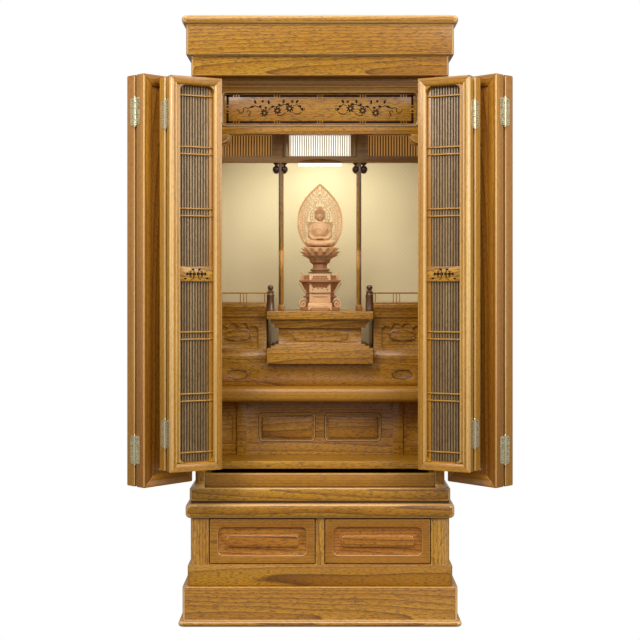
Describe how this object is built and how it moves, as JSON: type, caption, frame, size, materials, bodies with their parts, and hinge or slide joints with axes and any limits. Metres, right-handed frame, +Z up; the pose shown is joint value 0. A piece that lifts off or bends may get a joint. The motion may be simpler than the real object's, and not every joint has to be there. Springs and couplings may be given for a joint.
{
  "type": "household altar cabinet",
  "caption": "Upright lacquered wood altar cabinet with folding solid and lattice doors, drawers, a pull-out tray and a carved enshrined figure inside.",
  "frame": {"origin": "centre of the rectangle that the plinth covers on the floor, on its underside", "axes": "+X to the viewer's right, the front faces -Y, +Z up"},
  "size_m": [0.8108, 0.5611, 1.3],
  "materials": {
    "cabinet_wood": "satin lacquer over honey-brown zelkova with cathedral grain",
    "door_wood": "satin lacquer over redder-brown door wood",
    "shadow_moulding": "darker stained moulding, satin",
    "carved_wood": "pale carved wood, matt",
    "back_cloth": "pale gold brocade stretched on a board",
    "lamp_screen": "slatted wood over lit paper",
    "gauze": "grey gauze behind wooden slats",
    "hinge_brass": "pale antique brass with an etched pattern"
  },
  "bodies": {
    "cabinet": {"plinth": "cabinet_wood", "drawer_case": "cabinet_wood", "ledge_board": "cabinet_wood", "floor_board": "cabinet_wood", "left_side": "cabinet_wood", "right_side": "cabinet_wood", "back_board": "cabinet_wood", "cornice": "cabinet_wood", "lower_shelf": "cabinet_wood", "middle_shelf": "cabinet_wood", "lower_panel": "cabinet_wood", "altar_riser": "cabinet_wood", "left_wing": "cabinet_wood", "right_wing": "cabinet_wood", "dais": "cabinet_wood", "left_railing": "cabinet_wood", "right_railing": "cabinet_wood", "left_pillar": "cabinet_wood", "right_pillar": "cabinet_wood", "canopy_frame": "cabinet_wood", "left_lamp_screen": "lamp_screen", "centre_lamp_screen": "lamp_screen", "right_lamp_screen": "lamp_screen", "head_moulding": "shadow_moulding", "transom_panel": "cabinet_wood", "lintel": "cabinet_wood", "cloth_panel": "back_cloth", "figure_pedestal": "carved_wood", "lotus_seat": "carved_wood", "enshrined_figure": "carved_wood", "flame_halo": "carved_wood", "left_outer_body_hinge_lower": "hinge_brass", "left_outer_body_hinge_upper": "hinge_brass", "right_outer_body_hinge_lower": "hinge_brass", "right_outer_body_hinge_upper": "hinge_brass"},
    "left_drawer_body": {"left_drawer": "cabinet_wood"},
    "right_drawer_body": {"right_drawer": "cabinet_wood"},
    "tray_body": {"offering_tray": "cabinet_wood"},
    "left_outer_hung": {"left_outer_hung_leaf": "cabinet_wood", "left_outer_fold_hinge_lower": "hinge_brass", "left_outer_fold_hinge_upper": "hinge_brass"},
    "left_outer_free": {"left_outer_free_leaf": "cabinet_wood"},
    "left_inner_hung": {"left_inner_hung_leaf": "door_wood", "left_inner_hung_leaf_screen": "gauze", "left_inner_fold_hinge_lower": "hinge_brass", "left_inner_fold_hinge_upper": "hinge_brass"},
    "left_inner_free": {"left_inner_free_leaf": "door_wood", "left_inner_free_leaf_screen": "gauze"},
    "right_outer_hung": {"right_outer_hung_leaf": "cabinet_wood", "right_outer_fold_hinge_lower": "hinge_brass", "right_outer_fold_hinge_upper": "hinge_brass"},
    "right_outer_free": {"right_outer_free_leaf": "cabinet_wood"},
    "right_inner_hung": {"right_inner_hung_leaf": "door_wood", "right_inner_hung_leaf_screen": "gauze", "right_inner_fold_hinge_lower": "hinge_brass", "right_inner_fold_hinge_upper": "hinge_brass"},
    "right_inner_free": {"right_inner_free_leaf": "door_wood", "right_inner_free_leaf_screen": "gauze"}
  },
  "joints": [
    {"name": "left_doors", "type": "hinge", "parent": "cabinet", "child": "left_outer_hung", "pos_m": [-0.2698, -0.1995, 0.7345], "axis": [0, 0, 1], "range_deg": [0, 134]},
    {"name": "left_outer_fold", "type": "hinge", "parent": "left_outer_hung", "child": "left_outer_free", "pos_m": [-0.38576, -0.27596, 0.7345], "axis": [0, 0, 1], "range_deg": [0, 180]},
    {"name": "left_inner_hinge", "type": "hinge", "parent": "cabinet", "child": "left_inner_hung", "pos_m": [-0.245, -0.1975, 0.7485], "axis": [0, 0, 1], "range_deg": [0, 136]},
    {"name": "left_inner_fold", "type": "hinge", "parent": "left_inner_hung", "child": "left_inner_free", "pos_m": [-0.31846, -0.30569, 0.7485], "axis": [0, 0, -1], "range_deg": [0, 162]},
    {"name": "right_doors", "type": "hinge", "parent": "cabinet", "child": "right_outer_hung", "pos_m": [0.2698, -0.1995, 0.7345], "axis": [0, 0, -1], "range_deg": [0, 134]},
    {"name": "right_outer_fold", "type": "hinge", "parent": "right_outer_hung", "child": "right_outer_free", "pos_m": [0.38576, -0.27596, 0.7345], "axis": [0, 0, -1], "range_deg": [0, 180]},
    {"name": "right_inner_hinge", "type": "hinge", "parent": "cabinet", "child": "right_inner_hung", "pos_m": [0.245, -0.1975, 0.7485], "axis": [0, 0, -1], "range_deg": [0, 136]},
    {"name": "right_inner_fold", "type": "hinge", "parent": "right_inner_hung", "child": "right_inner_free", "pos_m": [0.31846, -0.30569, 0.7485], "axis": [0, 0, 1], "range_deg": [0, 162]},
    {"name": "tray_slide", "type": "slide", "parent": "cabinet", "child": "tray_body", "axis": [0, 1, 0], "range_m": [-0.2, 0]},
    {"name": "left_drawer_slide", "type": "slide", "parent": "cabinet", "child": "left_drawer_body", "axis": [0, 1, 0], "range_m": [-0.25, 0]},
    {"name": "right_drawer_slide", "type": "slide", "parent": "cabinet", "child": "right_drawer_body", "axis": [0, 1, 0], "range_m": [-0.25, 0]}
  ],
  "couplings": [
    {"joint": "left_outer_fold", "follows": "left_doors", "ratio": 1.3432},
    {"joint": "left_inner_hinge", "follows": "left_doors", "ratio": 1.0149},
    {"joint": "left_inner_fold", "follows": "left_doors", "ratio": 1.2089},
    {"joint": "right_outer_fold", "follows": "right_doors", "ratio": 1.3432},
    {"joint": "right_inner_hinge", "follows": "right_doors", "ratio": 1.0149},
    {"joint": "right_inner_fold", "follows": "right_doors", "ratio": 1.2089}
  ]
}
